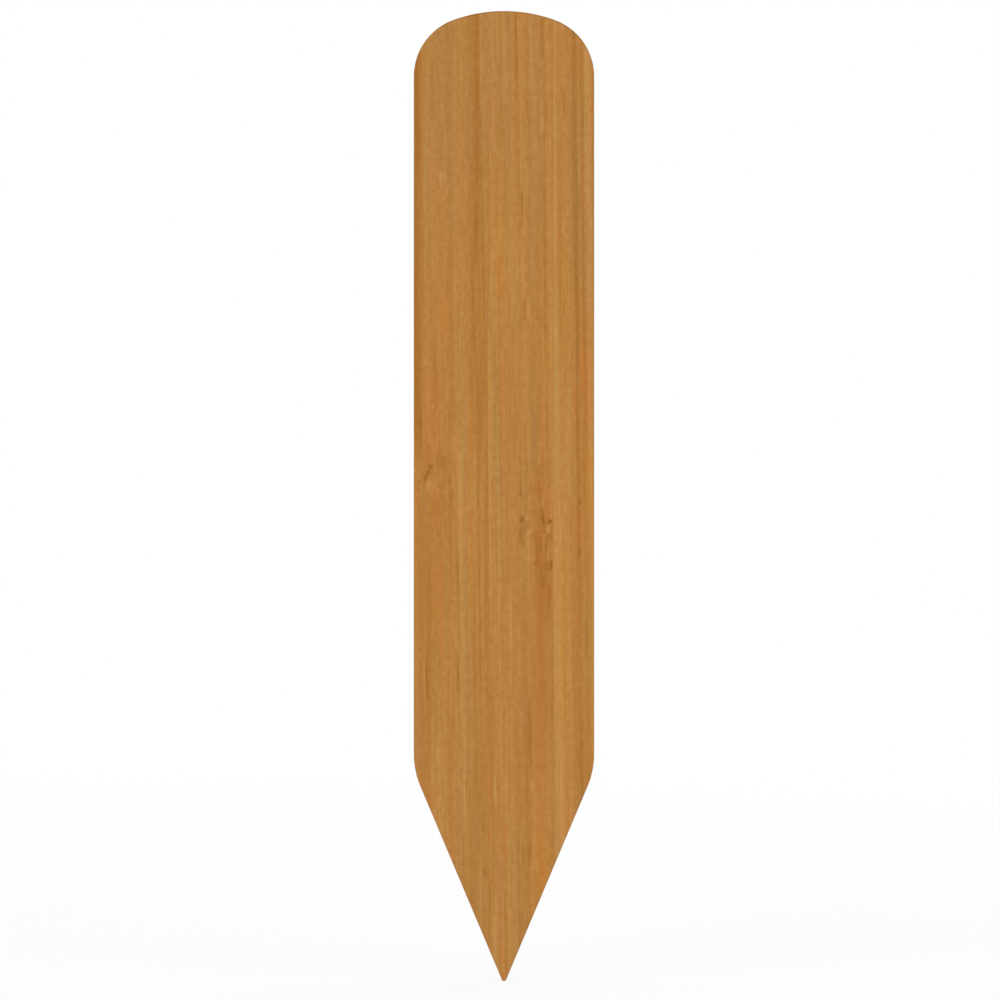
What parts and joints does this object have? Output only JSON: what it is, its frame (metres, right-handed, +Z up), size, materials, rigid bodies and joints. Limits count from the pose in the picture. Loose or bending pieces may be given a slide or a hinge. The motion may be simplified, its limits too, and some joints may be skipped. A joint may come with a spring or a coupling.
{
  "type": "plant label stake",
  "caption": "Flat bamboo plant label with a rounded head and a pointed foot, pushed into potting soil so that its bare face can carry a plant's name.",
  "frame": {"origin": "end of the point, on the centreline of the width and of the thickness", "axes": "+Z up the length from the point to the head, +X across the width, to the right as seen from the front, and -Y out of the front face"},
  "size_m": [0.0188, 0.003, 0.1016],
  "materials": {
    "bamboo": "satin",
    "glue": "satin"
  },
  "bodies": {
    "root": {"bamboo_strip_1": "bamboo", "bamboo_strip_2": "bamboo", "bamboo_strip_3": "bamboo", "bamboo_strip_4": "bamboo", "glue_line_1": "glue", "glue_line_2": "glue", "glue_line_3": "glue"}
  },
  "joints": []
}
